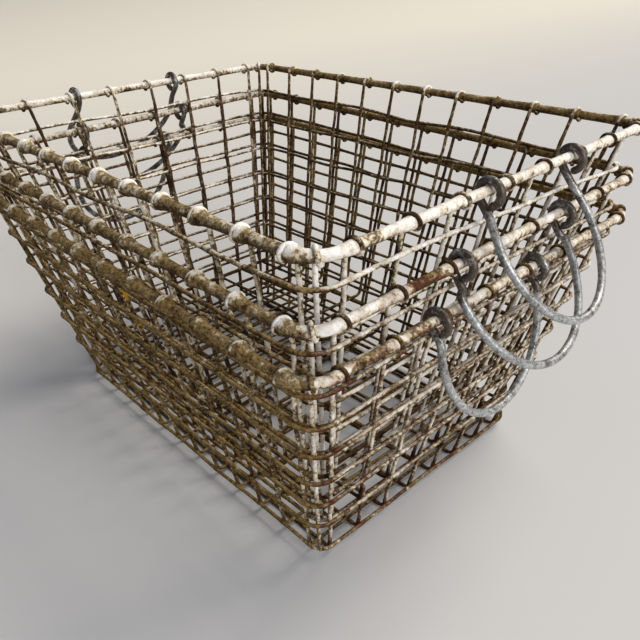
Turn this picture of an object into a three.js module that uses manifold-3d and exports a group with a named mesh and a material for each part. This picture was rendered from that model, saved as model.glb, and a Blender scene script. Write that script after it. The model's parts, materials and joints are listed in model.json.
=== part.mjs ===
import * as THREE from 'three';
import { mergeVertices } from 'three/addons/utils/BufferGeometryUtils.js';
import Module from 'manifold-3d';

const wasm = await Module();
wasm.setup();

// Rim of one basket, measured between the centres of its wire, and the height of its centre.
const rimLength = 492;
const rimWidth = 376;
const rimHeight = 227;
const rimDiameter = 7;

// Walls lean outward by this much for each millimetre of height.
const wallSlope = 0.25;

// Thin wire of the walls and the floor, and how many wires run each way.
const wireDiameter = 3;
const longWireCount = 8;
const crossWireCount = 12;

// Hook of a thin wire round the rim.
const hookTurn = 240;
const hookShift = 3.3;

// Corner radius as a share of the closest wire spacing.
const cornerShare = 0.5;

// Bend of a wire from the wall into the floor, and how deep the cross wires sink into the bottom hoop.
const floorBend = 5;
const bondDepth = 0.9;

// Handle: wire, round eye that hangs on the rim, how far the eye is turned and its length down to the leg.
const handleDiameter = 5.8;
const eyeRadius = 8.5;
const eyeTurn = 240;
const eyeLength = 16;

// Drop of each basket's handles and the straight part of their legs.
const lowerDrop = 90;
const lowerLeg = 28;
const middleDrop = 91;
const middleLeg = 20;
const upperDrop = 103.5;
const upperLeg = 39;

// How far inside the rim the legs of a bowed handle run, and how far its D bulges past its eyes.
const bowInset = 8;
const bowBulge = 4;

// Clearance between pieces that touch.
const gap = 0.3;

// Three baskets from the ground up: depth of each hoop as a share of the rim height, handles and the shape
// of their bows, how the basket sits askew in the one below, and how far its hooks have crept along the
// near side and the near end of the rim. Handles, the near one first: eyes in wire spacings from the
// middle of the end, seen from outside, and the outward lean.
const baskets = [
  {
    name: 'lower',
    hoopShares: [0.068, 0.207, 0.348, 0.502, 0.639, 0.775],
    handle: { eyes: [[-1.617, 0.813], [-0.747, 1.683]], lean: [12.6, 12.6] },
    bow: { drop: lowerDrop, leg: lowerLeg, inset: 0, bulge: 0 },
    tilt: [0, 0, 0],
    shift: [0, 0],
    nearSide: { spread: 1, creep: 0 },
    nearEnd: { spread: 1, creep: 0 },
  },
  {
    name: 'middle',
    hoopShares: [0.09, 0.256, 0.396, 0.533, 0.67, 0.802],
    handle: { eyes: [[-1.202, 1.381], [-1.287, 1.351]], lean: [34.3, 32] },
    bow: { drop: middleDrop, leg: middleLeg, inset: bowInset, bulge: bowBulge },
    tilt: [0, -0.4, 0.2],
    shift: [-0.5, 0.4],
    nearSide: { spread: 1, creep: 0 },
    nearEnd: { spread: 1, creep: 0 },
  },
  {
    name: 'upper',
    hoopShares: [0.106, 0.269, 0.41, 0.542, 0.678, 0.815],
    handle: { eyes: [[-0.898, 1.277], [-1.194, 1.36]], lean: [35.5, 39] },
    bow: { drop: upperDrop, leg: upperLeg, inset: bowInset, bulge: bowBulge },
    tilt: [-0.6, -0.8, 0.55],
    shift: [-0.5, 1.4],
    nearSide: { spread: 0.955, creep: 12.5 },
    nearEnd: { spread: 1, creep: 4.5 },
  },
];

const wireSides = 5;
const rimSides = 8;
const handleSides = 6;

const wireRadius = wireDiameter / 2;
const rimRadius = rimDiameter / 2;
const handleRadius = handleDiameter / 2;
const hookRadius = rimRadius + gap + wireRadius;
const eyeHang = eyeRadius - handleRadius - rimRadius - gap / 6;
const wallStretch = Math.hypot(1, wallSlope);
const wirePitch = wireDiameter + gap;
const longSpacing = rimWidth / longWireCount;
const crossSpacing = rimLength / crossWireCount;
const facetDrop = wireRadius * Math.cos(Math.PI / wireSides);
const longFloor = facetDrop;
const crossFloor = longFloor + wirePitch;
const bottomHoopHeight = crossFloor + floorBend;
const bottomDepth = rimHeight - bottomHoopHeight;
const lengthShare = 1 - wallSlope * rimHeight / (rimLength / 2);
const widthShare = 1 - wallSlope * rimHeight / (rimWidth / 2);
const rimCorner = cornerShare * Math.min(longSpacing, crossSpacing);
const floorCorner = cornerShare * Math.min(longSpacing * widthShare, crossSpacing * lengthShare);
const cornerSlope = (rimCorner - floorCorner) / rimHeight;

const rimSteel = new THREE.MeshStandardMaterial({ color: 0xb9b09c, roughness: 0.75, metalness: 0.4 });
const wireSteel = new THREE.MeshStandardMaterial({ color: 0x8f8370, roughness: 0.8, metalness: 0.4 });
const handleSteel = new THREE.MeshStandardMaterial({ color: 0x9aa0a2, roughness: 0.55, metalness: 0.8 });

const up = new THREE.Vector3(0, 0, 1);
const alongX = new THREE.Vector3(1, 0, 0);
const alongY = new THREE.Vector3(0, 1, 0);

// Path through given points, with a section of the wire at each of them.
class WirePath extends THREE.Curve {
  constructor(points, side) {
    super();
    this.points = points;
    this.side = side;
  }

  getPoint(t, target = new THREE.Vector3()) {
    const last = this.points.length - 1;
    const place = t * last;
    const index = Math.min(Math.floor(place), last - 1);
    return target.lerpVectors(this.points[index], this.points[index + 1], place - index);
  }

  getPointAt(u, target) {
    return this.getPoint(u, target);
  }

  getTangentAt(u, target = new THREE.Vector3()) {
    const last = this.points.length - 1;
    const index = Math.round(u * last);
    const here = this.points[index];
    target.set(0, 0, 0);
    if (index > 0) {
      target.add(here.clone().sub(this.points[index - 1]).normalize());
    }
    if (index < last) {
      target.add(this.points[index + 1].clone().sub(here).normalize());
    }
    return target.normalize();
  }

  computeFrenetFrames(segments, closed) {
    if (!this.side) {
      return super.computeFrenetFrames(segments, closed);
    }
    const frames = { tangents: [], normals: [], binormals: [] };
    for (let i = 0; i <= segments; i += 1) {
      const tangent = this.getTangentAt(i / segments);
      const normal = this.side.clone().addScaledVector(tangent, -this.side.dot(tangent)).normalize();
      frames.tangents.push(tangent);
      frames.normals.push(normal);
      frames.binormals.push(tangent.clone().cross(normal));
    }
    return frames;
  }
}

function section(radius, sides) {
  const corners = [];
  for (let i = 0; i < sides; i += 1) {
    const turn = Math.PI / 2 + (2 * i + 1) * Math.PI / sides;
    corners.push(new THREE.Vector2(radius * Math.cos(turn), radius * Math.sin(turn)));
  }
  return new THREE.Shape(corners);
}

function wire(points, radius, sides, side) {
  const path = new WirePath(points, side);
  return new THREE.ExtrudeGeometry(section(radius, sides), {
    steps: points.length - 1,
    bevelEnabled: false,
    extrudePath: path,
  });
}

function toSolid(geometry) {
  const bare = geometry.clone();
  bare.deleteAttribute('normal');
  bare.deleteAttribute('uv');
  const merged = mergeVertices(bare, 1e-4);
  const mesh = new wasm.Mesh({
    numProp: 3,
    vertProperties: new Float32Array(merged.attributes.position.array),
    triVerts: new Uint32Array(merged.index.array),
  });
  return new wasm.Manifold(mesh);
}

function toGeometry(solid) {
  const mesh = solid.getMesh();
  const geometry = new THREE.BufferGeometry();
  geometry.setAttribute('position', new THREE.BufferAttribute(new Float32Array(mesh.vertProperties), 3));
  geometry.setIndex(new THREE.BufferAttribute(new Uint32Array(mesh.triVerts), 1));
  geometry.computeVertexNormals();
  return geometry;
}

// Hook from its tip over the rim to where the straight leg begins on the inside.
function hookPoints(rimPoint, out, along, slope) {
  const stretch = Math.hypot(1, slope);
  const inward = out.clone().multiplyScalar(-1 / stretch).addScaledVector(up, slope / stretch);
  const legUp = out.clone().multiplyScalar(slope / stretch).addScaledVector(up, 1 / stretch);
  const turns = 4;
  const step = THREE.MathUtils.degToRad(hookTurn) / turns;
  const place = (turn, radius) => rimPoint.clone()
    .addScaledVector(inward, radius * Math.cos(turn))
    .addScaledVector(legUp, radius * Math.sin(turn))
    .addScaledVector(along, hookShift * turn / (turns * step));
  const points = [place(turns * step, hookRadius)];
  for (let i = turns; i > 0; i -= 1) {
    points.push(place((i - 0.5) * step, hookRadius / Math.cos(step / 2)));
  }
  return points;
}

// Rounded bend at a corner between two straight runs.
function bendPoints(before, corner, after) {
  const enter = corner.clone().addScaledVector(before.clone().sub(corner).normalize(), floorBend);
  const leave = corner.clone().addScaledVector(after.clone().sub(corner).normalize(), floorBend);
  const middle = enter.clone().add(leave).multiplyScalar(0.25).addScaledVector(corner, 0.5);
  return [enter, middle, leave];
}

// One wire from rim to rim under the floor; out points to its first wall, along lies on that wall's rim
// and hooks gives the place of the hook at each end.
function uprightWire(out, along, halfRim, floorHeight, place, share, hooks) {
  const ends = [];
  const reach = halfRim - hookRadius * wallStretch - wallSlope * (rimHeight - floorHeight);
  [1, -1].forEach((sign, index) => {
    const outward = out.clone().multiplyScalar(sign);
    const rimPoint = outward.clone().multiplyScalar(halfRim).addScaledVector(along, hooks[index]);
    rimPoint.addScaledVector(up, rimHeight);
    const hook = hookPoints(rimPoint, outward, along.clone().multiplyScalar(sign), wallSlope);
    const corner = outward.clone().multiplyScalar(reach).addScaledVector(along, place * share);
    corner.addScaledVector(up, floorHeight);
    ends.push({ hook, corner });
  });
  const [first, second] = ends;
  return [
    ...first.hook,
    ...bendPoints(first.hook.at(-1), first.corner, second.corner),
    ...bendPoints(first.corner, second.corner, second.hook.at(-1)),
    ...second.hook.reverse(),
  ];
}

// Ring with rounded corners, its ends butted in the middle of one short side.
function ringPoints(halfLength, halfWidth, corner, height) {
  const points = [new THREE.Vector3(-halfLength, gap / 2, height)];
  const centres = [[-1, 1], [1, 1], [1, -1], [-1, -1]];
  centres.forEach(([signX, signY], index) => {
    for (let i = 0; i <= 4; i += 1) {
      const turn = Math.PI - (index + i / 4) * Math.PI / 2;
      points.push(new THREE.Vector3(
        signX * (halfLength - corner) + corner * Math.cos(turn),
        signY * (halfWidth - corner) + corner * Math.sin(turn),
        height,
      ));
    }
  });
  points.push(new THREE.Vector3(-halfLength, -gap / 2, height));
  return points;
}

// Half length, half width and corner radius of a ring that lies this far outside the upright wires.
function hoopSize(depth, offsetX, offsetY) {
  const inset = hookRadius * wallStretch + wallSlope * depth;
  return {
    halfLength: rimLength / 2 - inset + offsetX * wallStretch,
    halfWidth: rimWidth / 2 - inset + offsetY * wallStretch,
    corner: rimCorner - cornerSlope * depth - (hookRadius - Math.min(offsetX, offsetY)) * wallStretch,
  };
}

function hoop(depth) {
  const size = hoopSize(depth, wirePitch, wirePitch);
  const points = ringPoints(size.halfLength, size.halfWidth, size.corner, rimHeight - depth);
  return wire(points, wireRadius, wireSides, up);
}

function bottomSize() {
  return hoopSize(bottomDepth, wirePitch, wireDiameter - bondDepth);
}

// Cross wires and corner stakes, held together by the bottom hoop.
function crossWires(nearSide) {
  const size = bottomSize();
  const ring = ringPoints(size.halfLength, size.halfWidth, size.corner, bottomHoopHeight);
  const solids = [toSolid(wire(ring, wireRadius, wireSides, up))];
  for (let i = 0; i < crossWireCount; i += 1) {
    const place = (i - (crossWireCount - 1) / 2) * crossSpacing;
    const hooks = [place, place * nearSide.spread + nearSide.creep];
    const points = uprightWire(alongY, alongX, rimWidth / 2, crossFloor, place, lengthShare, hooks);
    solids.push(toSolid(wire(points, wireRadius, wireSides, alongX)));
  }
  const stakeSlope = Math.SQRT2 * (wallSlope - cornerSlope * (1 - Math.SQRT1_2));
  for (const [signX, signY] of [[1, 1], [-1, 1], [-1, -1], [1, -1]]) {
    const out = new THREE.Vector3(signX, signY, 0).multiplyScalar(Math.SQRT1_2);
    const along = new THREE.Vector3(-signY, signX, 0).multiplyScalar(Math.SQRT1_2);
    const cornerPoint = (halfLength, halfWidth, corner, height) => out.clone().multiplyScalar(corner)
      .addScaledVector(alongX, signX * (halfLength - corner))
      .addScaledVector(alongY, signY * (halfWidth - corner))
      .addScaledVector(up, height);
    const rimPoint = cornerPoint(rimLength / 2, rimWidth / 2, rimCorner, rimHeight);
    const foot = cornerPoint(size.halfLength, size.halfWidth, size.corner, bottomHoopHeight);
    const hook = hookPoints(rimPoint, out, along, stakeSlope);
    const ankleDepth = bottomDepth - 2 * wireDiameter;
    const ankle = rimPoint.clone().addScaledVector(up, -ankleDepth);
    ankle.addScaledVector(out, -hookRadius * Math.hypot(1, stakeSlope) - stakeSlope * ankleDepth);
    solids.push(toSolid(wire([...hook, ankle, foot], wireRadius, wireSides, along)));
  }
  return toGeometry(wasm.Manifold.union(solids));
}

function rim() {
  return wire(ringPoints(rimLength / 2, rimWidth / 2, rimCorner, rimHeight), rimRadius, rimSides, up);
}

// Bail with an eye round the rim at each end; drop runs down the bail and face points out of its plane.
function handlePoints(hinge, face, drop, along, half, bow) {
  const place = (m, d, y) => hinge.clone()
    .addScaledVector(face, m)
    .addScaledVector(drop, d)
    .addScaledVector(along, y);
  const parts = 6;
  const step = THREE.MathUtils.degToRad(eyeTurn) / parts;
  const corner = eyeRadius / Math.cos(step / 2);
  const eye = [];
  for (let i = parts; i >= 0; i -= 1) {
    eye.push([-corner * Math.cos(i * step), eyeHang - corner * Math.sin(i * step)]);
  }
  eye.push([-bow.inset, eyeLength]);
  const points = eye.map(([m, d]) => place(m, d, half));
  const turns = 10;
  for (let i = 0; i <= turns; i += 1) {
    const turn = i * Math.PI / turns;
    const depth = bow.leg + (bow.drop - bow.leg) * Math.sin(turn);
    points.push(place(-bow.inset, depth, (half + bow.bulge) * Math.cos(turn)));
  }
  points.push(...eye.reverse().map(([m, d]) => place(m, d, -half)));
  return points;
}

function handle(sign, eyes, lean, bow, creep) {
  const [left, right] = eyes.map((place) => place * longSpacing);
  const turn = THREE.MathUtils.degToRad(lean);
  const middle = sign * (left + right) / 2 + creep;
  const hinge = new THREE.Vector3(sign * rimLength / 2, middle, rimHeight);
  const face = new THREE.Vector3(sign * Math.cos(turn), 0, Math.sin(turn));
  const drop = new THREE.Vector3(sign * Math.sin(turn), 0, -Math.cos(turn));
  const along = alongY.clone().multiplyScalar(sign);
  const points = handlePoints(hinge, face, drop, along, (right - left) / 2, bow);
  const axis = along.clone().multiplyScalar(-1);
  return { geometry: wire(points, handleRadius, handleSides), hinge, axis };
}

// Height that the basket above must keep so that its hoops clear the upright wires of the one below.
// Its first hoop stays above the rim of that basket.
function seatRise(basket, turn) {
  let rise = 0;
  const hoopDepths = basket.hoopShares.slice(1).map((share) => share * rimHeight);
  for (const depth of [...hoopDepths, bottomDepth]) {
    const size = depth === bottomDepth ? bottomSize() : hoopSize(depth, wirePitch, wirePitch);
    const flatX = size.halfLength - size.corner;
    const flatY = size.halfWidth - size.corner;
    for (const [x, y] of [[size.halfLength, flatY], [flatX, size.halfWidth]]) {
      for (const [signX, signY] of [[1, 1], [-1, 1], [-1, -1], [1, -1]]) {
        const point = new THREE.Vector3(signX * x, signY * y, -depth).applyMatrix4(turn);
        const wallX = rimLength / 2 - hookRadius * wallStretch + wallSlope * point.z - Math.abs(point.x);
        const wallY = rimWidth / 2 - hookRadius * wallStretch + wallSlope * point.z - Math.abs(point.y);
        rise = Math.max(rise, (wirePitch * wallStretch - Math.min(wallX, wallY)) / wallSlope);
      }
    }
  }
  return rise;
}

const group = new THREE.Group();
const placed = new THREE.Matrix4();

function add(name, geometry, material, matrix) {
  geometry.applyMatrix4(matrix);
  const mesh = new THREE.Mesh(geometry, material);
  mesh.name = name;
  group.add(mesh);
  return mesh;
}

for (const [index, basket] of baskets.entries()) {
  const angles = basket.tilt.map((angle) => THREE.MathUtils.degToRad(angle));
  const turn = new THREE.Matrix4().makeRotationFromEuler(new THREE.Euler(...angles));
  turn.setPosition(...basket.shift, 0);
  if (index > 0) {
    placed.multiply(new THREE.Matrix4().makeTranslation(0, 0, seatRise(basket, turn)));
  }
  const raise = new THREE.Matrix4().makeTranslation(0, 0, rimHeight);
  const lower = new THREE.Matrix4().makeTranslation(0, 0, -rimHeight);
  placed.multiply(raise).multiply(turn).multiply(lower);
  add(`${basket.name}_rim`, rim(), rimSteel, placed);
  add(`${basket.name}_cross_wires`, crossWires(basket.nearSide), wireSteel, placed);
  for (let i = 0; i < longWireCount; i += 1) {
    const place = (i - (longWireCount - 1) / 2) * longSpacing;
    const hooks = [place * basket.nearEnd.spread + basket.nearEnd.creep, place];
    const points = uprightWire(alongX, alongY, rimLength / 2, longFloor, place, widthShare, hooks);
    const geometry = wire(points, wireRadius, wireSides, alongY);
    add(`${basket.name}_long_wire_${i + 1}`, geometry, wireSteel, placed);
  }
  basket.hoopShares.forEach((share, i) => {
    add(`${basket.name}_hoop_${i + 1}`, hoop(share * rimHeight), wireSteel, placed);
  });
  const creeps = [basket.nearEnd.creep, 0];
  for (const [side, end] of ['near', 'far'].entries()) {
    const { eyes, lean } = basket.handle;
    const bail = handle(1 - 2 * side, eyes[side], lean[side], basket.bow, creeps[side]);
    const mesh = add(`${basket.name}_handle_${end}`, bail.geometry, handleSteel, placed);
    mesh.userData.hinge = bail.hinge.applyMatrix4(placed);
    mesh.userData.axis = bail.axis.transformDirection(placed);
  }
}

// Stand the nest on the ground with the middle of its outline over the origin.
const outline = new THREE.Box3().setFromObject(group);
const centre = outline.getCenter(new THREE.Vector3()).setZ(outline.min.z).negate();
for (const mesh of group.children) {
  mesh.geometry.translate(centre.x, centre.y, centre.z);
  if (mesh.userData.hinge) {
    mesh.userData.hinge.add(centre);
  }
}

export default group;
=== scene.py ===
import json
import math
import bpy
import numpy as np
from mathutils import Matrix, Vector


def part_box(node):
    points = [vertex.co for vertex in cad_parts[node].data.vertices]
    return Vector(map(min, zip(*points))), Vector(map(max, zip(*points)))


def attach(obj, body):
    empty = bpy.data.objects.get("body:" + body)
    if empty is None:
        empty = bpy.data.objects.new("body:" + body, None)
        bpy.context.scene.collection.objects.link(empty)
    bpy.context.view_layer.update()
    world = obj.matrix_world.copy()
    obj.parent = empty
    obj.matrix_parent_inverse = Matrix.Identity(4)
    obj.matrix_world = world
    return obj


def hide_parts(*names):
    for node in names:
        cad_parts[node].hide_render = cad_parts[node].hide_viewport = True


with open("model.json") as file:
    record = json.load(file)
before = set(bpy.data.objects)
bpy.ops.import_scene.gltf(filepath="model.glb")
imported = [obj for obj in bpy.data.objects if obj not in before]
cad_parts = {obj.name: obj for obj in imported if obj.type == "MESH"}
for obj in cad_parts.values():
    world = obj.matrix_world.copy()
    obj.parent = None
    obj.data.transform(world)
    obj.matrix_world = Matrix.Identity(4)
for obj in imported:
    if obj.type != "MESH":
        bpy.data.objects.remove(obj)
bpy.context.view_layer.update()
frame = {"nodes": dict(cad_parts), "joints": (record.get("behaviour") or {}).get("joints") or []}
mm = 0.001
scene = bpy.context.scene
scene.view_settings.view_transform = "Standard"
print("frame loaded:", len(frame["nodes"]), "nodes")


# camera: fitted to the hooks on the three rims and to the corners of the floor
cameraSpot = {
    "eye": (0.47746, -0.39310, 0.45003),
    "right": (0.68730, 0.72619, -0.01664),
    "up": (-0.35393, 0.35481, 0.86536),
    "focalPixels": 693.95,
    "imagePixels": 640,
    "sensor": 36.0,
    "clip": (0.02, 60),
}


def makeCamera(spot):
    data = bpy.data.cameras.new("photoCamera")
    data.sensor_width = spot["sensor"]
    data.lens = spot["focalPixels"] / spot["imagePixels"] * spot["sensor"]
    data.clip_start, data.clip_end = spot["clip"]
    camera = bpy.data.objects.new("photoCamera", data)
    scene.collection.objects.link(camera)
    right = np.array(spot["right"])
    up = np.array(spot["up"])
    turn = Matrix(np.stack([right, up, np.cross(right, up)], 1).tolist())
    camera.matrix_world = Matrix.Translation(spot["eye"]) @ turn.to_4x4()
    scene.camera = camera


makeCamera(cameraSpot)
print("camera placed")


# one basket, in millimetres, with its origin in the middle of the rim
basketShape = {
    "halfLength": 246.0,
    "halfWidth": 188.0,
    "height": 227.0,
    "wallSlope": 0.25,
    "crossCount": 12,
    "longCount": 8,
    "rimRadius": 3.5,
    "wireRadius": 1.58,  # with its crust of lime
    "hookRadius": 5.3,
    "wrapRadius": 4.6,  # hooks lie sunk in zinc on the rim
    "hookTurn": 300.0,
    "hookSettles": 70,  # degrees of the wrap in which a hook sinks in
    "hookRise": 3.3 / 240,  # creep along the rim for each degree of the wrap
    "pitch": 3.3,
    "rimCorner": 20.5,
    "cornerSlope": 0.0207,
    "longFloor": 1.21,
    "crossFloor": 4.51,
    "bottomRing": 9.51,
    "bottomOffset": 2.1,  # bottom hoop from the cross wires
    "floorBend": 6.0,
    "ankle": 6.0,  # where a corner stake turns in to the bottom hoop
}

# how each basket sits, where its hoops run (share of the height), how far its first hoop sags on the far
# side (and how much more for each mm along), how far its near hooks have crept, and its bails: lean and
# half span of the near and the far one, drop, leg, inset and bulge
nest = {
    "lower": {
        "tilts": (),
        "hoops": (0.068, 0.207, 0.348, 0.502, 0.639, 0.775),
        "sag": (0.0, 0.0),
        "bail": {
            "lean": (12.6, 12.6),
            "half": (57.1, 57.1),
            "drop": 90.0,
            "straight": 28.0,
            "inset": 0.0,
            "bulge": 0.0,
        },
        "nearSide": (1.0, 0.0),
        "nearEnd": 0.0,
        "seed": 11,
    },
    "middle": {
        "tilts": ((0, -0.4, 0.2),),
        "hoops": (0.09, 0.256, 0.396, 0.533, 0.67, 0.802),
        "sag": (3.5, 0.007),
        "bail": {
            "lean": (34.3, 32.0),
            "half": (60.7, 62.0),
            "drop": 91.0,
            "straight": 20.0,
            "inset": 8.0,
            "bulge": 4.0,
        },
        "nearSide": (1.0, 0.0),
        "nearEnd": 0.0,
        "seed": 23,
    },
    "upper": {
        "tilts": ((0, -0.4, 0.2), (-0.6, -0.8, 0.55)),
        "hoops": (0.106, 0.269, 0.41, 0.542, 0.678, 0.815),
        "sag": (5.0, 0.014),
        "bail": {
            "lean": (35.5, 39.0),
            "half": (51.1, 60.0),
            "drop": 103.5,
            "straight": 39.0,
            "inset": 8.0,
            "bulge": 4.0,
        },
        "nearSide": (0.955, 12.5),
        "nearEnd": 4.5,
        "seed": 37,
    },
}

# how far the wires stray and how the zinc gathers on them: waves and sizes in millimetres
handwork = {
    "sway": (70, 0.9),  # along the wall
    "bow": (90, 0.25),  # out of the wall
    "crust": (9, 0.07),  # share of the wire's radius
    "bailWave": (22, 0.03),  # share of the bail's radius
    "beadWidth": 3.0,
    "legBead": 0.4,
    "floorBead": 0.3,
    "hoopBead": 0.35,
    "hoopWaves": (2, 3, 5, 8, 13),  # waves round the basket
    "hoopLift": 0.45,
    "sagShare": (-0.2, 0.9),  # sag grows between these shares of the half width
    "hoopCrust": 0.03,
    "rimCrust": 0.008,
    "rimFlare": {"nearSide": 2.3, "nearEnd": 0.9, "farSide": 1.2, "farEnd": 1.1},
    "flareBehind": 6.5,  # a flare's reach on the side where the hook creeps from
    "flareAhead": 3.2,
    "heldAtRim": (6, 40),  # a wire strays only below this depth
    "heldAtFloor": (0, 25),  # and above this height
    "dome": ((0.75, 0.5), (0.45, 0.86)),  # wire ends: reach and section, shares of the radius
}
# how fine the wires are drawn: sides of a section, mm between points, and points in a curve
sectionSides = {"rim": 14, "wire": 10, "bail": 14}
pathStep = {"leg": 4, "floor": 6, "ankle": 2, "hoop": 4, "rim": 1.5}
curvePoints = {"hook": 21, "bend": 7, "corner": 9, "eye": 12, "arc": 25, "between": 4}

xDir = np.array((1.0, 0.0, 0.0))
yDir = np.array((0.0, 1.0, 0.0))
zDir = np.array((0.0, 0.0, 1.0))
wallStretch = math.hypot(1, basketShape["wallSlope"])
corners = ((1, 1), (-1, 1), (-1, -1), (1, -1))


def turnOf(tilts):
    turn = Matrix.Identity(3)
    for angles in tilts:
        for angle, axis in zip(angles, "XYZ"):
            turn = turn @ Matrix.Rotation(math.radians(angle), 3, axis)
    return np.array(turn)


def seatOf(name):
    low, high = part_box(name + "_rim")
    return turnOf(nest[name]["tilts"]), np.array((low + high) / 2)


def smoothStep(low, high, value):
    share = np.clip((value - low) / (high - low), 0, 1)
    return share * share * (3 - 2 * share)


# slow random wander along a wire: a few sines of random phase
def wander(rng, run, wave, size):
    total = np.zeros_like(run)
    for k in range(4):
        stretch = wave * (0.6 + 0.5 * k)
        total += np.sin(2 * math.pi * run / stretch + rng.uniform(0, 2 * math.pi)) / (1 + 0.4 * k)
    return size * total / 2.2


# beads of zinc where wires cross
def beads(run, centres, width, height):
    total = np.zeros_like(run)
    for centre in centres:
        total = np.maximum(total, np.exp(-((run - centre) / width) ** 2))
    return height * total


def runOf(points):
    steps = np.linalg.norm(np.diff(points, axis=0), axis=1)
    return np.concatenate([[0.0], np.cumsum(steps)])


def straight(start, end, step):
    count = max(2, int(np.linalg.norm(end - start) / step) + 1)
    share = np.linspace(0, 1, count)[:, None]
    return start * (1 - share) + end * share


def curveThrough(points, parts):
    padded = np.concatenate([[2 * points[0] - points[1]], points, [2 * points[-1] - points[-2]]])
    made = []
    for i in range(len(points) - 1):
        a, b, c, d = padded[i:i + 4]
        for t in np.arange(parts) / parts:
            made.append(0.5 * (2 * b + (c - a) * t + (2 * a - 5 * b + 4 * c - d) * t ** 2
                               + (3 * b - a - 3 * c + d) * t ** 3))
    made.append(points[-1])
    return np.array(made)


def tangentsOf(points, closed):
    step = np.roll(points, -1, 0) - np.roll(points, 1, 0) if closed else np.gradient(points, axis=0)
    return step / np.linalg.norm(step, axis=1)[:, None]


# rounds off the two ends of an open wire
def domeEnds(points, radii):
    tangents = tangentsOf(points, False)
    dome = handwork["dome"]
    front = [points[0] - tangents[0] * radii[0] * reach for reach, section in dome]
    back = [points[-1] + tangents[-1] * radii[-1] * reach for reach, section in dome[::-1]]
    frontRadii = [radii[0] * section for reach, section in dome]
    backRadii = [radii[-1] * section for reach, section in dome[::-1]]
    return np.concatenate([front, points, back]), np.concatenate([frontRadii, radii, backRadii])


# round wire along a path: points, outward normals and faces
def tube(points, radii, sides, closed=False):
    if not closed:
        points, radii = domeEnds(points, radii)
    tangents = tangentsOf(points, closed)
    if closed:  # a level ring keeps its section upright, so it closes without a twist
        normals = np.cross(zDir, tangents)
        normals /= np.linalg.norm(normals, axis=1)[:, None]
    else:
        normals = np.zeros_like(points)
        guide = np.cross(tangents[0], zDir if abs(tangents[0][2]) < 0.9 else xDir)
        for i, tangent in enumerate(tangents):
            guide = guide - tangent * guide.dot(tangent)
            guide /= np.linalg.norm(guide)
            normals[i] = guide
    binormals = np.cross(tangents, normals)
    turns = np.arange(sides) * 2 * math.pi / sides
    facing = (normals[:, None, :] * np.cos(turns)[None, :, None]
              + binormals[:, None, :] * np.sin(turns)[None, :, None])
    verts = points[:, None, :] + facing * radii[:, None, None]
    index = np.arange(len(points) * sides).reshape(len(points), sides)
    first = index if closed else index[:-1]
    second = np.roll(index, -1, 0) if closed else index[1:]
    quads = np.stack([first, np.roll(first, -1, 1), np.roll(second, -1, 1), second], -1)
    faces = quads.reshape(-1, 4).tolist()
    if not closed:
        faces.append(index[0][::-1].tolist())
        faces.append(index[-1].tolist())
    return verts.reshape(-1, 3), facing.reshape(-1, 3), faces


# gathers the wires of one piece, then makes the mesh and its weather marks
class WireBundle:
    def __init__(self):
        self.verts = []
        self.facing = []
        self.faces = []
        self.luck = []
        self.count = 0

    def add(self, points, radii, sides, luck, closed=False):
        verts, facing, faces = tube(points, radii, sides, closed)
        self.faces += [[i + self.count for i in face] for face in faces]
        self.verts.append(verts)
        self.facing.append(facing)
        self.luck.append(np.full(len(verts), luck))
        self.count += len(verts)

    def build(self, pieceName, turn, origin, material, marks):
        verts = np.concatenate(self.verts)
        facing = np.concatenate(self.facing)
        mesh = bpy.data.meshes.new(pieceName)
        mesh.from_pydata((verts @ turn.T * mm + origin).tolist(), [], self.faces)
        mesh.polygons.foreach_set("use_smooth", np.ones(len(mesh.polygons), dtype=bool))
        for mark, values in marks(verts, facing, np.concatenate(self.luck)).items():
            layer = mesh.attributes.new(mark, "FLOAT", "POINT")
            layer.data.foreach_set("value", np.clip(values, 0, 1).astype(np.float32))
        mesh.materials.append(material)
        mesh.validate()
        piece = bpy.data.objects.new(pieceName, mesh)
        scene.collection.objects.link(piece)
        return piece


# hook from where the leg begins, over the rim and down the outside
def hookPath(rimPoint, out, along, slope):
    stretch = math.hypot(1, slope)
    inward = (slope * zDir - out) / stretch
    legUp = (slope * out + zDir) / stretch
    turns = np.linspace(0, basketShape["hookTurn"], curvePoints["hook"])
    angles = np.radians(turns)[:, None]
    sink = basketShape["hookRadius"] - basketShape["wrapRadius"]
    radius = basketShape["hookRadius"] - sink * smoothStep(0, basketShape["hookSettles"], turns)[:, None]
    return (rimPoint + inward * radius * np.cos(angles) + legUp * radius * np.sin(angles)
            + along * basketShape["hookRise"] * turns[:, None])


def bend(before, corner, after):
    size = basketShape["floorBend"]
    enter = corner + (before - corner) / np.linalg.norm(before - corner) * size
    leave = corner + (after - corner) / np.linalg.norm(after - corner) * size
    t = np.linspace(0, 1, curvePoints["bend"])[:, None]
    return enter * (1 - t) ** 2 + 2 * corner * t * (1 - t) + leave * t ** 2


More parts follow.
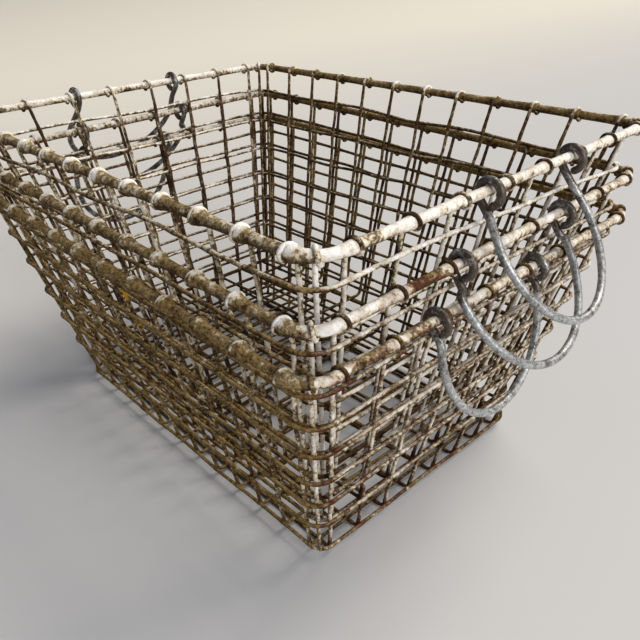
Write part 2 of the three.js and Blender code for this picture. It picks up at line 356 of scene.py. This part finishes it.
# wire from rim to rim under the floor, with a bead at each hoop and at each crossing of the floor
def uprightWire(rng, out, along, halfRim, floorHeight, place, share, hooks, hoopDepths, crossings):
    slope = basketShape["wallSlope"]
    depth = basketShape["height"] - floorHeight
    reach = halfRim - basketShape["hookRadius"] * wallStretch - slope * depth
    ends = []
    for sign, hookPlace in zip((1, -1), hooks):
        outward = out * sign
        hook = hookPath(outward * halfRim + along * hookPlace, outward, along * sign, slope)
        corner = outward * reach + along * place * share - zDir * depth
        ends.append((hook[::-1], corner))
    (firstHook, firstCorner), (secondHook, secondCorner) = ends
    firstBend = bend(firstHook[-1], firstCorner, secondCorner)
    secondBend = bend(firstCorner, secondCorner, secondHook[-1])
    parts = [
        firstHook,
        straight(firstHook[-1], firstBend[0], pathStep["leg"])[1:-1],
        firstBend,
        straight(firstBend[-1], secondBend[0], pathStep["floor"])[1:-1],
        secondBend,
        straight(secondBend[-1], secondHook[-1], pathStep["leg"])[1:-1],
        secondHook[::-1],
    ]
    points = np.concatenate(parts)
    run = runOf(points)
    onFloor = points[:, 2] < -depth + 3
    free = smoothStep(*handwork["heldAtRim"], -points[:, 2])
    free = free * smoothStep(*handwork["heldAtFloor"], points[:, 2] + depth)
    points = points + along * (free * wander(rng, run, *handwork["sway"]))[:, None]
    points = points + out * (free * wander(rng, run, *handwork["bow"]))[:, None]
    radii = basketShape["wireRadius"] * (1 + wander(rng, run, *handwork["crust"]))
    legBeads = beads(-points[:, 2], hoopDepths, handwork["beadWidth"], handwork["legBead"])
    floorBeads = beads(points @ out, crossings, handwork["beadWidth"], handwork["floorBead"])
    return points, radii + np.where(onFloor, floorBeads, legBeads)


def wirePlaces(count, half):
    spacing = 2 * half / count
    return [(i - (count - 1) / 2) * spacing for i in range(count)]


def floorShare(half):
    return 1 - basketShape["wallSlope"] * basketShape["height"] / half


# places of the hooks on each wall: cross wires hook on the two sides, long wires on the two ends
def hookPlaces(name):
    spread, creep = nest[name]["nearSide"]
    cross = wirePlaces(basketShape["crossCount"], basketShape["halfLength"])
    long = wirePlaces(basketShape["longCount"], basketShape["halfWidth"])
    return {
        "farSide": cross,
        "nearSide": [place * spread + creep for place in cross],
        "nearEnd": [place + nest[name]["nearEnd"] for place in long],
        "farEnd": long,
    }


def hoopSize(depth, offsetX, offsetY):
    inset = basketShape["hookRadius"] * wallStretch + basketShape["wallSlope"] * depth
    corner = basketShape["rimCorner"] - basketShape["cornerSlope"] * depth
    corner -= (basketShape["hookRadius"] - min(offsetX, offsetY)) * wallStretch
    return (basketShape["halfLength"] - inset + offsetX * wallStretch,
            basketShape["halfWidth"] - inset + offsetY * wallStretch, corner)


# level ring with rounded corners
def ringPath(halfLength, halfWidth, corner, height, step):
    parts = []
    for k, (signX, signY) in enumerate(corners):
        centre = np.array((signX * (halfLength - corner), signY * (halfWidth - corner), height))
        turns = np.radians(90 * k + np.linspace(0, 90, curvePoints["corner"]))
        arc = centre + corner * np.stack([np.cos(turns), np.sin(turns), np.zeros_like(turns)], 1)
        nextX, nextY = corners[(k + 1) % 4]
        nextCentre = np.array((nextX * (halfLength - corner), nextY * (halfWidth - corner), height))
        start = nextCentre + corner * np.array((math.cos(turns[-1]), math.sin(turns[-1]), 0))
        parts += [arc, straight(arc[-1], start, step)[1:-1]]
    return np.concatenate(parts)


# distance along a wall of each point of a ring, and which wall it is on
def wallRun(points):
    onEnd = (np.abs(points[:, 0]) - np.max(np.abs(points[:, 0]))
             > np.abs(points[:, 1]) - np.max(np.abs(points[:, 1])))
    walls = np.where(onEnd, np.where(points[:, 0] > 0, "nearEnd", "farEnd"),
                     np.where(points[:, 1] > 0, "farSide", "nearSide"))
    return np.where(onEnd, points[:, 1], points[:, 0]), walls


def placeAt(hookPlace, place, share, depth):
    return hookPlace + (place * share - hookPlace) * depth / basketShape["height"]


def crossingsAt(name, depth):
    cross = wirePlaces(basketShape["crossCount"], basketShape["halfLength"])
    long = wirePlaces(basketShape["longCount"], basketShape["halfWidth"])
    crossShare = floorShare(basketShape["halfLength"])
    longShare = floorShare(basketShape["halfWidth"])
    hooks = hookPlaces(name)
    return {
        wall: [placeAt(hook, place, share, depth) for hook, place in zip(hooks[wall], places)]
        for wall, places, share in (("farSide", cross, crossShare), ("nearSide", cross, crossShare),
                                    ("nearEnd", long, longShare), ("farEnd", long, longShare))
    }


def ringBeads(points, crossings, width, height):
    along, walls = wallRun(points)
    total = np.zeros(len(points))
    for wall, centres in crossings.items():
        total = np.where(walls == wall, beads(along, centres, width, height), total)
    return total


# hoop outside the upright wires, a little wavy, bonded to each of them
def hoopRing(rng, name, depth, offsetX, offsetY, sag=(0.0, 0.0)):
    halfLength, halfWidth, corner = hoopSize(depth, offsetX, offsetY)
    points = ringPath(halfLength, halfWidth, corner, -depth, pathStep["hoop"])
    farShare = smoothStep(*handwork["sagShare"], points[:, 1] / halfWidth)
    points[:, 2] -= (sag[0] + sag[1] * points[:, 0]) * farShare
    angle = np.unwrap(np.arctan2(points[:, 1], points[:, 0]))
    for waves in handwork["hoopWaves"]:
        points[:, 2] += rng.normal(0, handwork["hoopLift"]) * np.sin(waves * angle + rng.uniform(0, 6.28))
    radii = basketShape["wireRadius"] * (1 + rng.normal(0, handwork["hoopCrust"], len(points)))
    crossings = crossingsAt(name, depth)
    return points, radii + ringBeads(points, crossings, handwork["beadWidth"], handwork["hoopBead"])


# thick rim, flared by the zinc that ran in beside each hook
def rimRing(rng, name):
    halfLength, halfWidth = basketShape["halfLength"], basketShape["halfWidth"]
    points = ringPath(halfLength, halfWidth, basketShape["rimCorner"], 0, pathStep["rim"])
    radii = basketShape["rimRadius"] * (1 + rng.normal(0, handwork["rimCrust"], len(points)))
    along, walls = wallRun(points)
    for wall, centres in hookPlaces(name).items():
        creep = 1 if wall in ("nearEnd", "farSide") else -1
        for centre in centres:
            away = (centre - along) * creep
            behind = np.exp(-away / handwork["flareBehind"])
            ahead = np.exp(-((away / handwork["flareAhead"]) ** 2))
            flare = handwork["rimFlare"][wall] * np.where(away > 0, behind, ahead)
            radii = np.where(walls == wall, np.maximum(radii, basketShape["rimRadius"] + flare), radii)
    return points, radii


def cornerStake(rng, signX, signY, hoopDepths):
    out = np.array((signX, signY, 0)) * math.sqrt(0.5)
    along = np.array((-signY, signX, 0)) * math.sqrt(0.5)
    slope = math.sqrt(2) * (basketShape["wallSlope"] - basketShape["cornerSlope"] * (1 - math.sqrt(0.5)))
    bottomDepth = basketShape["height"] - basketShape["bottomRing"]
    corner = basketShape["rimCorner"]
    rimPoint = out * corner + np.array((signX * (basketShape["halfLength"] - corner),
                                        signY * (basketShape["halfWidth"] - corner), 0))
    hook = hookPath(rimPoint, out, along, slope)[::-1]
    ankleDepth = bottomDepth - basketShape["ankle"]
    ankle = rimPoint - zDir * ankleDepth
    ankle = ankle - out * (basketShape["hookRadius"] * math.hypot(1, slope) + slope * ankleDepth)
    halfLength, halfWidth, small = hoopSize(bottomDepth, basketShape["pitch"], basketShape["bottomOffset"])
    foot = np.array((signX * (halfLength - small), signY * (halfWidth - small), -bottomDepth)) + out * small
    leg = straight(hook[-1], ankle, pathStep["leg"])
    points = np.concatenate([hook, leg[1:], straight(ankle, foot, pathStep["ankle"])[1:]])
    run = runOf(points)
    radii = basketShape["wireRadius"] * (1 + wander(rng, run, *handwork["crust"]))
    return points, radii + beads(-points[:, 2], hoopDepths, handwork["beadWidth"], handwork["legBead"])


# bail: round eye that hangs on the rim at each end, then the D
eyeShape = {
    "radius": 8.5,
    "wireRadius": 2.9,
    "hang": 2.05,
    "length": 16.0,
    "closed": 284.0,  # turn of the eye, degrees
    "open": 240.0,
}


def handlePath(bail, half):
    radius, hang = eyeShape["radius"], eyeShape["hang"]
    turn = eyeShape["closed"] if bail["inset"] else eyeShape["open"]
    eye = []
    for angle in np.radians(np.linspace(turn, 0, curvePoints["eye"])):
        eye.append((-radius * math.cos(angle), hang - radius * math.sin(angle)))
    eye.append((-bail["inset"], eyeShape["length"]))
    drop, leg = bail["drop"], bail["straight"]
    first = [(m, d, half) for m, d in eye]
    last = [(m, d, -half) for m, d in eye[::-1]]
    arc = []
    for angle in np.linspace(0, math.pi, curvePoints["arc"]):
        depth = leg + (drop - leg) * math.sin(angle)
        arc.append((-bail["inset"], depth, (half + bail["bulge"]) * math.cos(angle)))
    return curveThrough(np.array(first + arc + last, dtype=float), curvePoints["between"])


print("wire paths ready")


# weathering: how much whitewash is left (coat) and how warm the rust is (tone), wall by wall; the upward
# lifts below also paint a highlight on the tops of the wires and painted shade under them
weather = {
    "rim": {
        "coat": {"nearEnd": 0.58, "nearSide": 0.15, "farSide": 0.16, "farEnd": 0.70, "floor": 0.2},
        "tone": {"nearEnd": 0.46, "nearSide": 0.74, "farSide": 0.84, "farEnd": 0.50, "floor": 0.3},
        "lift": {"outward": 0.10, "upward": 0.26},
    },
    "wire": {
        "coat": {"nearEnd": 0.54, "nearSide": 0.42, "farSide": 0.28, "farEnd": 0.40, "floor": 0.14},
        "tone": {"nearEnd": 0.36, "nearSide": 0.64, "farSide": 0.62, "farEnd": 0.46, "floor": 0.34},
        "lift": {"outward": 0.22, "upward": 0.15},
    },
    "hoop": {
        "coat": {"nearEnd": 0.46, "nearSide": 0.12, "farSide": 0.16, "farEnd": 0.56, "floor": 0.2},
        "tone": {"nearEnd": 0.36, "nearSide": 0.68, "farSide": 0.58, "farEnd": 0.48, "floor": 0.34},
        "lift": {"outward": 0.12, "upward": 0.30},
    },
    # lime left on top of the hooks, and where that top begins and ends: heights on the rim in mm; the
    # upward share also paints a highlight on the hook faces turned up
    "hookCap": {"nearEnd": 0.12, "nearSide": 0.60, "farSide": 0.46, "farEnd": 0.50, "floor": 0.5},
    "cap": {"from": -4, "to": 1, "upward": 0.30, "whiteness": 2.0, "blushGone": 0.7},
    "fade": ((90, 205, 0.10), (205, 214, 0.25)),  # lime gone between two depths, mm
    "dustAndUndersideShade": 0.34,  # ochre dust on top of a wire, and painted shade: darker rust on its underside
    "bell": {"lower": 0.34, "middle": 0.48, "upper": 0.55},  # lime left beside the near hooks
    "bellSide": 0.35,  # share of it on the side of the rim; the rest follows the faces turned up, a painted highlight on top of each bell as well as lime
    "bellPlace": (0.8, 2.4),  # past the hook and reach, mm
    "seamShadowPlace": (-4, 1.6),
    "seamShadow": 0.5,  # painted shadow in the gap before a bell
    "corner": {"wire": 0.18, "rim": 0.13, "hoop": -0.34},  # lime more or less round the near corner
    "cornerReach": (-45, -5),  # mm
    # yellow spots on the near side: place along the wall and depth, mm
    "lichen": {"lower": ((-28, 26), (20, 27), (-29, 56), (14, 59), (-70, 92))},
    "lichenReach": 12,
    # rust laid bare on the near end of the rims: place, reach in mm, share of lime gone
    "bare": {
        "lower": ((-140, 14, 0.25), (-95, 12, 0.3)),
        "middle": ((-92, 15, 0.6),),
        "upper": ((-150, 9, 0.2),),
    },
    "blush": {"lower": 0.90, "middle": 0.90, "upper": 0.45},  # red oxide on the ends
    "farBlush": 0.6,
    "warmth": {"lower": 0.20, "middle": 0.02, "upper": 0.0},
    "whiteness": {"lower": -0.10, "middle": -0.03, "upper": 0.04},
    "luck": {"wire": 0.07, "hoop": 0.03},  # how much lime varies from wire to wire
    "warmLuck": 0.8,  # how far the warmth of the rust follows it
    "floorDepth": (206, 222),  # mm
    "floorInset": (8, 18),
    "cornerBlend": (-10, 10),  # between an end and a side, mm
    "eyeStain": (14, 30),  # stain on a bail fades between these distances from the rim, mm
    "farStain": 0.7,  # stain all along the far bails
}


# share of each wall, and of the floor, at each point
def wallShares(verts):
    depth = -verts[:, 2]
    inset = basketShape["wallSlope"] * depth
    pastEnd = np.abs(verts[:, 0]) - basketShape["halfLength"] + inset
    pastSide = np.abs(verts[:, 1]) - basketShape["halfWidth"] + inset
    floor = smoothStep(*weather["floorDepth"], depth)
    floor = floor * smoothStep(*weather["floorInset"], -np.maximum(pastEnd, pastSide))
    end = smoothStep(*weather["cornerBlend"], pastEnd - pastSide) * (1 - floor)
    side = (1 - floor) - end
    nearX = verts[:, 0] > 0
    farY = verts[:, 1] > 0
    return {"nearEnd": end * nearX, "farEnd": end * ~nearX, "farSide": side * farY,
            "nearSide": side * ~farY, "floor": floor}


def weatherMarks(name, kind):
    def marks(verts, facing, luck):
        shares = wallShares(verts)
        out = {"nearEnd": facing[:, 0], "farEnd": -facing[:, 0], "farSide": facing[:, 1],
               "nearSide": -facing[:, 1], "floor": -facing[:, 2]}
        outward = sum(shares[wall] * out[wall] for wall in shares)
        coat = sum(shares[wall] * weather[kind]["coat"][wall] for wall in shares)
        tone = sum(shares[wall] * weather[kind]["tone"][wall] for wall in shares)
        lift = weather[kind]["lift"]
        upward = facing[:, 2]
        # more lime on faces turned out and on faces turned up; the upward part is also painted light:
        # whiter tops and darker undersides
        coat = coat + lift["outward"] * outward + lift["upward"] * upward + luck
        coat = coat + weather["whiteness"][name]
        for low, high, gone in weather["fade"]:
            coat = coat - gone * smoothStep(low, high, -verts[:, 2])
        # ochre dust on the tops and painted shade on the undersides: the rust warms where the wire faces up
        # and darkens where it faces down
        tone = tone + weather["warmth"][name] + weather["warmLuck"] * luck + weather["dustAndUndersideShade"] * upward
        blush = weather["blush"][name] * (shares["nearEnd"] + weather["farBlush"] * shares["farEnd"])
        if kind == "wire":
            capLook = weather["cap"]
            cap = smoothStep(capLook["from"], capLook["to"], verts[:, 2])
            capCoat = sum(shares[wall] * weather["hookCap"][wall] for wall in shares) + luck
            # painted highlight: the hook tops grow whiter the more they face up
            capCoat = capCoat + capLook["upward"] * upward
            capCoat = capCoat + capLook["whiteness"] * weather["whiteness"][name]
            coat = coat * (1 - cap) + capCoat * cap
            blush = blush * (1 - capLook["blushGone"] * cap)
        inset = -basketShape["wallSlope"] * verts[:, 2]
        pastEnd = verts[:, 0] - basketShape["halfLength"] + inset
        pastSide = -verts[:, 1] - basketShape["halfWidth"] + inset
        cornerShare = smoothStep(*weather["cornerReach"], np.minimum(pastEnd, pastSide))
        coat = coat + weather["corner"][kind] * cornerShare
        if kind == "rim":
            bellSide = weather["bellSide"]
            nearHooks = np.array(hookPlaces(name)["nearSide"])
            past = verts[:, 0, None] - nearHooks
            bell, seamShadow = (np.max(np.exp(-((past - place) / reach) ** 2), 1) * shares["nearSide"]
                          for place, reach in (weather["bellPlace"], weather["seamShadowPlace"]))
            # lime beside each near hook, weighted to the top of the rim: partly a painted highlight
            coat = coat + weather["bell"][name] * bell * (bellSide + (1 - bellSide) * upward)
            for place, reach, gone in weather["bare"][name]:
                coat = coat - gone * shares["nearEnd"] * np.exp(-((verts[:, 1] - place) / reach) ** 4)
            # painted shadow: the rust darkens in the gap just before each bell
            tone = tone - weather["seamShadow"] * seamShadow
        moss = np.zeros(len(verts))
        for x, depth in weather["lichen"].get(name, ()):
            away = np.hypot(verts[:, 0] - x, verts[:, 2] + depth)
            moss = np.maximum(moss, 1 - away / weather["lichenReach"]) * (verts[:, 1] < 0)
        return {"coat": coat, "tone": tone, "blush": blush, "moss": moss}
    return marks


def linear(hexColour):
    value = hexColour.lstrip("#")
    made = []
    for i in (0, 2, 4):
        share = int(value[i:i + 2], 16) / 255
        made.append(share / 12.92 if share <= 0.04045 else ((share + 0.055) / 1.055) ** 2.4)
    return (*made, 1.0)


# adds a node with its settings, links or fills its sockets, and gives one of its outputs
def addNode(tree, kind, sockets, out=0, **settings):
    node = tree.nodes.new(kind)
    for key, value in settings.items():
        setattr(node, key, value)
    for socket, value in sockets.items():
        if isinstance(value, bpy.types.NodeSocket):
            tree.links.new(value, node.inputs[socket])
        else:
            node.inputs[socket].default_value = value
    return node.outputs[out]


def newMaterial(name):
    material = bpy.data.materials.new(name)
    material.use_nodes = True
    tree = material.node_tree
    return material, tree, tree.nodes["Principled BSDF"]


mixA, mixB, mixOut = 6, 7, 2  # colour sockets of the mix node


# noises, their weighted sums and the shares that follow them, as the table of a finish lists them
def sharesOf(tree, finish):
    coords = addNode(tree, "ShaderNodeTexCoord", {}, "Object")
    source = {}
    for mark in finish["marks"]:
        source[mark] = addNode(tree, "ShaderNodeAttribute", {}, "Fac", attribute_name=mark)
    for noise, size in finish["sizes"].items():
        source[noise] = addNode(tree, "ShaderNodeTexNoise", {
            "Vector": coords, "Scale": 1 / (size * mm),
            "Detail": finish["detail"], "Roughness": finish["rugged"],
        })
    for total, (mark, weights) in finish["sums"].items():
        source[total] = source.get(mark, 0.0)
        for noise, weight in weights.items():
            source[total] = addNode(tree, "ShaderNodeMath", {
                0: source[noise], 1: weight, 2: source[total],
            }, operation="MULTIPLY_ADD")
    share = {}
    for band, (followed, low, high, start, end) in finish["bands"].items():
        share[band] = addNode(tree, "ShaderNodeMapRange", {
            "Value": source[followed], "From Min": low, "From Max": high, "To Min": start, "To Max": end,
        })
    return source, share


# limewashed steel wire: zinc-dipped, rusted through, then brushed with lime paint that has flaked away.
# The eye sees chalky cream streaks a few millimetres wide on dull brown, with dark edges and no shine.
limewash = {
    "marks": ("coat", "tone", "blush", "moss"),
    "sizes": {"flake": 3.6, "patch": 16.0, "grit": 1.5, "stain": 12.0},  # mm
    "detail": 3.5,
    "rugged": 0.6,
    # lime stays where the coat and the noises add up, and rust warms where the tone and the noises do
    "sums": {
        "field": ("coat", {"flake": 1.2, "patch": 1.1, "grit": 0.45}),
        "crust": ("moss", {"flake": 1.0}),
        "warm": ("tone", {"flake": 1.3, "patch": 1.0, "grit": 0.4}),
    },
    "bands": {  # what each share follows, from where to where, and its own two ends
        "brown": ("warm", 1.42, 1.92, 0.0, 1.0),
        "ochre": ("warm", 1.96, 2.50, 0.0, 1.0),
        "rosy": ("stain", 0.44, 0.60, 0.0, 1.0),
        "pit": ("grit", 0.36, 0.50, 0.6, 0.0),
        "halo": ("field", 1.63, 1.87, 0.0, 0.45),
        "left": ("field", 1.87, 1.95, 0.0, 1.0),
        "clean": ("field", 1.93, 2.32, 0.0, 1.0),
        "scuff": ("grit", 0.32, 0.42, 0.35, 0.0),
        "lichen": ("crust", 0.86, 0.94, 0.0, 1.0),
    },
    "rust": {  # each shade over the one before, and the share that it follows
        "rustDark": None,
        "rustBrown": "brown",
        "rustOchre": "ochre",
        "oxide": "red",
        "pitBlack": "pit",
        "limeHalo": "halo",
    },
    "lime": {"limeDirty": None, "limeClean": "clean", "oxide": "grime", "rustBrown": "scuff"},
    "grime": 0.42,  # share of the red oxide that stains the lime
    "shades": {
        "rustDark": "#140901",
        "rustBrown": "#452f16",
        "rustOchre": "#a28650",
        "pitBlack": "#140901",
        "limeHalo": "#a59577",
        "limeDirty": "#cab897",
        "limeClean": "#f4f3ee",
        "oxide": "#5f2a1e",
        "lichen": "#cf9a1d",
    },
    "thick": 0.6,  # how far the lime stands above the grit
    "relief": {"Strength": 0.8, "Distance": 0.0006},
    "matt": {"To Min": 0.85, "To Max": 0.66},  # rust, lime
    "shine": 0.25,
}


def limewashedWire(name):
    material, tree, shader = newMaterial(name)
    shades = {shade: linear(value) for shade, value in limewash["shades"].items()}
    source, share = sharesOf(tree, limewash)
    for made, first, second in (("red", "rosy", source["blush"]), ("grime", "red", limewash["grime"])):
        share[made] = addNode(tree, "ShaderNodeMath", {0: share[first], 1: second}, operation="MULTIPLY")
    # rust from near black through brown to ochre dust and red oxide, lime from dirty to clean
    layer = {}
    for coatName in ("rust", "lime"):
        for shade, over in limewash[coatName].items():
            if over is None:
                layer[coatName] = shades[shade]
                continue
            layer[coatName] = addNode(tree, "ShaderNodeMix", {
                0: share[over], mixA: layer[coatName], mixB: shades[shade],
            }, mixOut, data_type="RGBA")
    colour = layer["rust"]
    for over, top in (("left", layer["lime"]), ("lichen", shades["lichen"])):
        colour = addNode(tree, "ShaderNodeMix", {0: share[over], mixA: colour, mixB: top}, mixOut,
                         data_type="RGBA")
    thick = addNode(tree, "ShaderNodeMath", {
        0: share["left"], 1: limewash["thick"], 2: source["grit"],
    }, operation="MULTIPLY_ADD")
    relief = addNode(tree, "ShaderNodeBump", {**limewash["relief"], "Height": thick})
    matt = addNode(tree, "ShaderNodeMapRange", {"Value": share["left"], **limewash["matt"]})
    tree.links.new(colour, shader.inputs["Base Color"])
    tree.links.new(matt, shader.inputs["Roughness"])
    tree.links.new(relief, shader.inputs["Normal"])
    shader.inputs["Specular IOR Level"].default_value = limewash["shine"]
    return material


# hot-dipped zinc on a steel bail: dull grey with pale bloom, dark handling stains and a soft metal gleam
zincBail = {
    "marks": ("rubbed",),
    "sizes": {"bloom": 2.2, "stain": 9.0, "grit": 0.9},  # mm
    "detail": 4,
    "rugged": 0.62,
    "sums": {
        "frost": (None, {"bloom": 1.0, "grit": 0.5}),
        "dirt": (None, {"grit": 0.9, "rubbed": 0.24, "stain": 1.0}),
    },
    "bands": {
        "pale": ("frost", 0.58, 1.00, 0.0, 1.0),
        "dark": ("dirt", 0.98, 1.16, 0.0, 0.94),
        "metal": ("frost", 0.60, 0.95, 0.70, 0.30),
        "rough": ("grit", 0.30, 0.70, 0.28, 0.50),
    },
    "bloom": "#dcdedd",
    "zinc": "#868a8b",
    "stain": "#453729",
    "relief": {"Strength": 0.6, "Distance": 0.0004},
}


def dulledZinc(name):
    material, tree, shader = newMaterial(name)
    source, share = sharesOf(tree, zincBail)
    colour = linear(zincBail["zinc"])
    for over, shade in (("pale", "bloom"), ("dark", "stain")):
        colour = addNode(tree, "ShaderNodeMix", {
            0: share[over], mixA: colour, mixB: linear(zincBail[shade]),
        }, mixOut, data_type="RGBA")
    relief = addNode(tree, "ShaderNodeBump", {**zincBail["relief"], "Height": source["dirt"]})
    tree.links.new(colour, shader.inputs["Base Color"])
    tree.links.new(share["metal"], shader.inputs["Metallic"])
    tree.links.new(share["rough"], shader.inputs["Roughness"])
    tree.links.new(relief, shader.inputs["Normal"])
    return material


wireFinish = limewashedWire("limewashedSteelWire")
handleFinish = dulledZinc("dulledHotDippedZinc")
print("finishes mixed")


def finishPiece(piece, body, nodes):
    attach(piece, body)
    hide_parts(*nodes)


def makeBasket(name):
    rng = np.random.default_rng(nest[name]["seed"])
    turn, origin = seatOf(name)
    body = name + "_basket"
    hooks = hookPlaces(name)
    height = basketShape["height"]
    bottomDepth = height - basketShape["bottomRing"]
    hoopDepths = [share * height for share in nest[name]["hoops"]]
    beadDepths = hoopDepths + [bottomDepth]
    crossShare = floorShare(basketShape["halfLength"])
    longShare = floorShare(basketShape["halfWidth"])
    cross = wirePlaces(basketShape["crossCount"], basketShape["halfLength"])
    long = wirePlaces(basketShape["longCount"], basketShape["halfWidth"])

    rim = WireBundle()
    rim.add(*rimRing(rng, name), sectionSides["rim"], 0, closed=True)
    piece = rim.build(name + "RimWire", turn, origin, wireFinish, weatherMarks(name, "rim"))
    finishPiece(piece, body, [name + "_rim"])

    crossWires = WireBundle()
    for place, farHook, nearHook in zip(cross, hooks["farSide"], hooks["nearSide"]):
        wire = uprightWire(rng, yDir, xDir, basketShape["halfWidth"], basketShape["crossFloor"], place,
                           crossShare, (farHook, nearHook), beadDepths, [p * longShare for p in long])
        crossWires.add(*wire, sectionSides["wire"], rng.normal(0, weather["luck"]["wire"]))
    for signX, signY in corners:
        stake = cornerStake(rng, signX, signY, beadDepths)
        crossWires.add(*stake, sectionSides["wire"], rng.normal(0, weather["luck"]["wire"]))
    bottomHoop = hoopRing(rng, name, bottomDepth, basketShape["pitch"], basketShape["bottomOffset"])
    crossWires.add(*bottomHoop, sectionSides["wire"], 0, closed=True)
    piece = crossWires.build(name + "CrossWires", turn, origin, wireFinish, weatherMarks(name, "wire"))
    finishPiece(piece, body, [name + "_cross_wires"])

    longWires = WireBundle()
    for place, nearHook, farHook in zip(long, hooks["nearEnd"], hooks["farEnd"]):
        wire = uprightWire(rng, xDir, yDir, basketShape["halfLength"], basketShape["longFloor"], place,
                           longShare, (nearHook, farHook), beadDepths, [p * crossShare for p in cross])
        longWires.add(*wire, sectionSides["wire"], rng.normal(0, weather["luck"]["wire"]))
    piece = longWires.build(name + "LongWires", turn, origin, wireFinish, weatherMarks(name, "wire"))
    finishPiece(piece, body, [f"{name}_long_wire_{i + 1}" for i in range(len(long))])

    hoops = WireBundle()
    for i, depth in enumerate(hoopDepths):
        sag = nest[name]["sag"] if i == 0 else (0.0, 0.0)
        ring = hoopRing(rng, name, depth, basketShape["pitch"], basketShape["pitch"], sag)
        hoops.add(*ring, sectionSides["wire"], rng.normal(0, weather["luck"]["hoop"]), closed=True)
    piece = hoops.build(name + "Hoops", turn, origin, wireFinish, weatherMarks(name, "hoop"))
    finishPiece(piece, body, [f"{name}_hoop_{i + 1}" for i in range(len(hoopDepths))])


# stain gathers on the eyes, where the bail rubs on the rim, and all along the far bails
def stainMarks(base):
    def marks(verts, facing, luck):
        return {"rubbed": base + 1 - smoothStep(*weather["eyeStain"], verts[:, 1])}
    return marks


def makeHandle(name, end, sign):
    body = f"{name}_handle_{end}"
    joint = next(j for j in frame["joints"] if j["child"] == body)
    turn = turnOf(nest[name]["tilts"])
    bail = nest[name]["bail"]
    lean, half = (bail[size][0 if sign > 0 else 1] for size in ("lean", "half"))
    lean = math.radians(lean)
    face = np.array((sign * math.cos(lean), 0, math.sin(lean)))
    drop = np.array((sign * math.sin(lean), 0, -math.cos(lean)))
    axes = turn @ np.stack([face, drop, yDir * sign], 1)
    rng = np.random.default_rng(nest[name]["seed"] + (5 if sign > 0 else 6))
    points = handlePath(bail, half)
    run = runOf(points)
    radii = eyeShape["wireRadius"] * (1 + wander(rng, run, *handwork["bailWave"]))
    wire = WireBundle()
    wire.add(points, radii, sectionSides["bail"], 0)
    marks = stainMarks(0.0 if sign > 0 else weather["farStain"])
    origin = np.array(joint["pos_m"])
    piece = wire.build(f"{name}Handle{end.capitalize()}", axes, origin, handleFinish, marks)
    finishPiece(piece, body, [body])


for basketName in nest:
    makeBasket(basketName)
    makeHandle(basketName, "near", 1)
    makeHandle(basketName, "far", -1)
    print(basketName, "basket wired")


# seamless paper: matt and pale, darker and cooler near by, brighter and warmer white further back: a
# painted fall-off of light over the floor
paper = {
    "size": 16.0,
    "near": "#c9cacc",
    "far": "#f3efe2",
    "back": (-1.0, 0.0, 0.0),
    "nearReach": 0.0,
    "farReach": 2.1,
    "grain": 2.5,  # mm
    "detail": 2,
    "relief": {"Strength": 0.05, "Distance": 0.0002},
    "matt": 0.9,
    "drop": 0.0005,  # a hair below the ground level of the part
}


def makePaper():
    half = paper["size"] / 2
    mesh = bpy.data.meshes.new("paperFloor")
    square = [(-half, -half, 0), (half, -half, 0), (half, half, 0), (-half, half, 0)]
    mesh.from_pydata(square, [], [(0, 1, 2, 3)])
    floor = bpy.data.objects.new("paperFloor", mesh)
    floor.location.z = -paper["drop"]
    scene.collection.objects.link(floor)
    material, tree, shader = newMaterial("mattPaper")
    coords = addNode(tree, "ShaderNodeTexCoord", {}, "Object")
    # painted light fall-off: the paper's colour brightens towards the back
    away = addNode(tree, "ShaderNodeVectorMath", {0: coords, 1: paper["back"]}, "Value",
                   operation="DOT_PRODUCT")
    share = addNode(tree, "ShaderNodeMapRange", {
        "Value": away, "From Min": paper["nearReach"], "From Max": paper["farReach"],
    }, interpolation_type="SMOOTHSTEP")
    colour = addNode(tree, "ShaderNodeMix", {
        0: share, mixA: linear(paper["near"]), mixB: linear(paper["far"]),
    }, mixOut, data_type="RGBA")
    grain = addNode(tree, "ShaderNodeTexNoise", {
        "Vector": coords, "Scale": 1 / (paper["grain"] * mm), "Detail": paper["detail"],
    })
    relief = addNode(tree, "ShaderNodeBump", {**paper["relief"], "Height": grain})
    tree.links.new(colour, shader.inputs["Base Color"])
    tree.links.new(relief, shader.inputs["Normal"])
    shader.inputs["Roughness"].default_value = paper["matt"]
    mesh.materials.append(material)


makePaper()
print("paper laid")


# soft daylight: a wide window high up behind to the right, a doorway before the near end, and a dim sky
lamps = {
    "window": {"spot": (2.4, 8.6, 12.0), "size": 8.8, "power": 1900, "colour": "#fff6e8"},
    "doorway": {"spot": (4.5, -0.3, 2.2), "size": 2.4, "power": 165, "colour": "#fdfaf6"},
}
lampAim = Vector((0, 0, 0.15))
sky = {"colour": "#dbe4fa", "strength": 0.20}


def makeLamp(name, lamp):
    data = bpy.data.lights.new(name, "AREA")
    data.energy = lamp["power"]
    data.size = lamp["size"]
    data.color = linear(lamp["colour"])[:3]
    light = bpy.data.objects.new(name, data)
    scene.collection.objects.link(light)
    light.location = lamp["spot"]
    light.rotation_euler = (lampAim - Vector(lamp["spot"])).to_track_quat("-Z", "Y").to_euler()


for lampName, lampSpec in lamps.items():
    makeLamp(lampName, lampSpec)
world = bpy.data.worlds.new("softSky")
world.use_nodes = True
scene.world = world
skyNode = world.node_tree.nodes["Background"]
skyNode.inputs["Color"].default_value = linear(sky["colour"])
skyNode.inputs["Strength"].default_value = sky["strength"]
print("light set")
